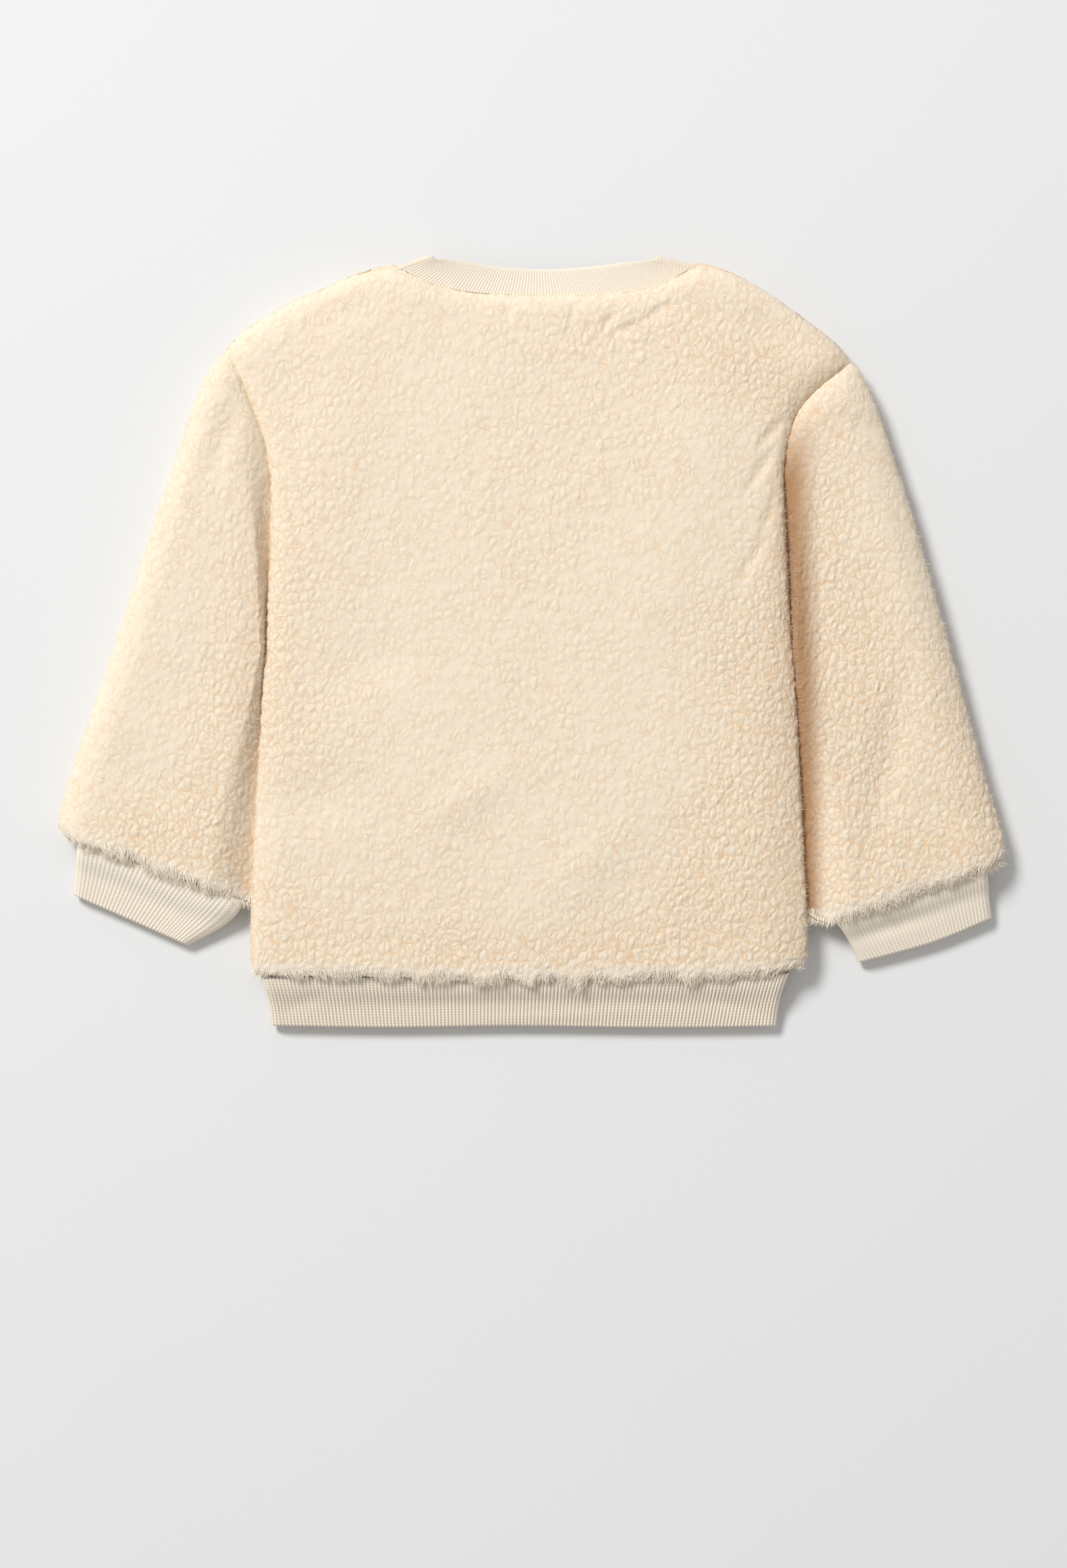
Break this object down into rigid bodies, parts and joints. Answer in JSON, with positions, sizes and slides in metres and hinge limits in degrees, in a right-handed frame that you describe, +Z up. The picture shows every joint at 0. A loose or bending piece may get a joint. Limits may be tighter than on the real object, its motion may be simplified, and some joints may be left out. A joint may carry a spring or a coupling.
{
  "type": "sherpa fleece pullover laid flat",
  "caption": "Toddler's sherpa fleece pullover with ribbed collar, cuffs and hem, laid flat on its front with its back up.",
  "frame": {"origin": "centre of the garment's outline, on the surface it lies on", "axes": "+X to the wearer's right sleeve, +Y to the neck, +Z up out of the garment's back"},
  "size_m": [0.4624, 0.3785, 0.0207],
  "materials": {
    "sherpa": "cream sherpa pile, soft clumps with warm creases, matt",
    "rib_knit": "cream 1x1 rib knit, matt"
  },
  "bodies": {
    "root": {"back_panel": "sherpa", "front_panel": "sherpa", "sleeve_left": "sherpa", "sleeve_right": "sherpa", "cuff_left": "rib_knit", "cuff_right": "rib_knit", "hem_band": "rib_knit", "collar": "rib_knit"}
  },
  "joints": []
}
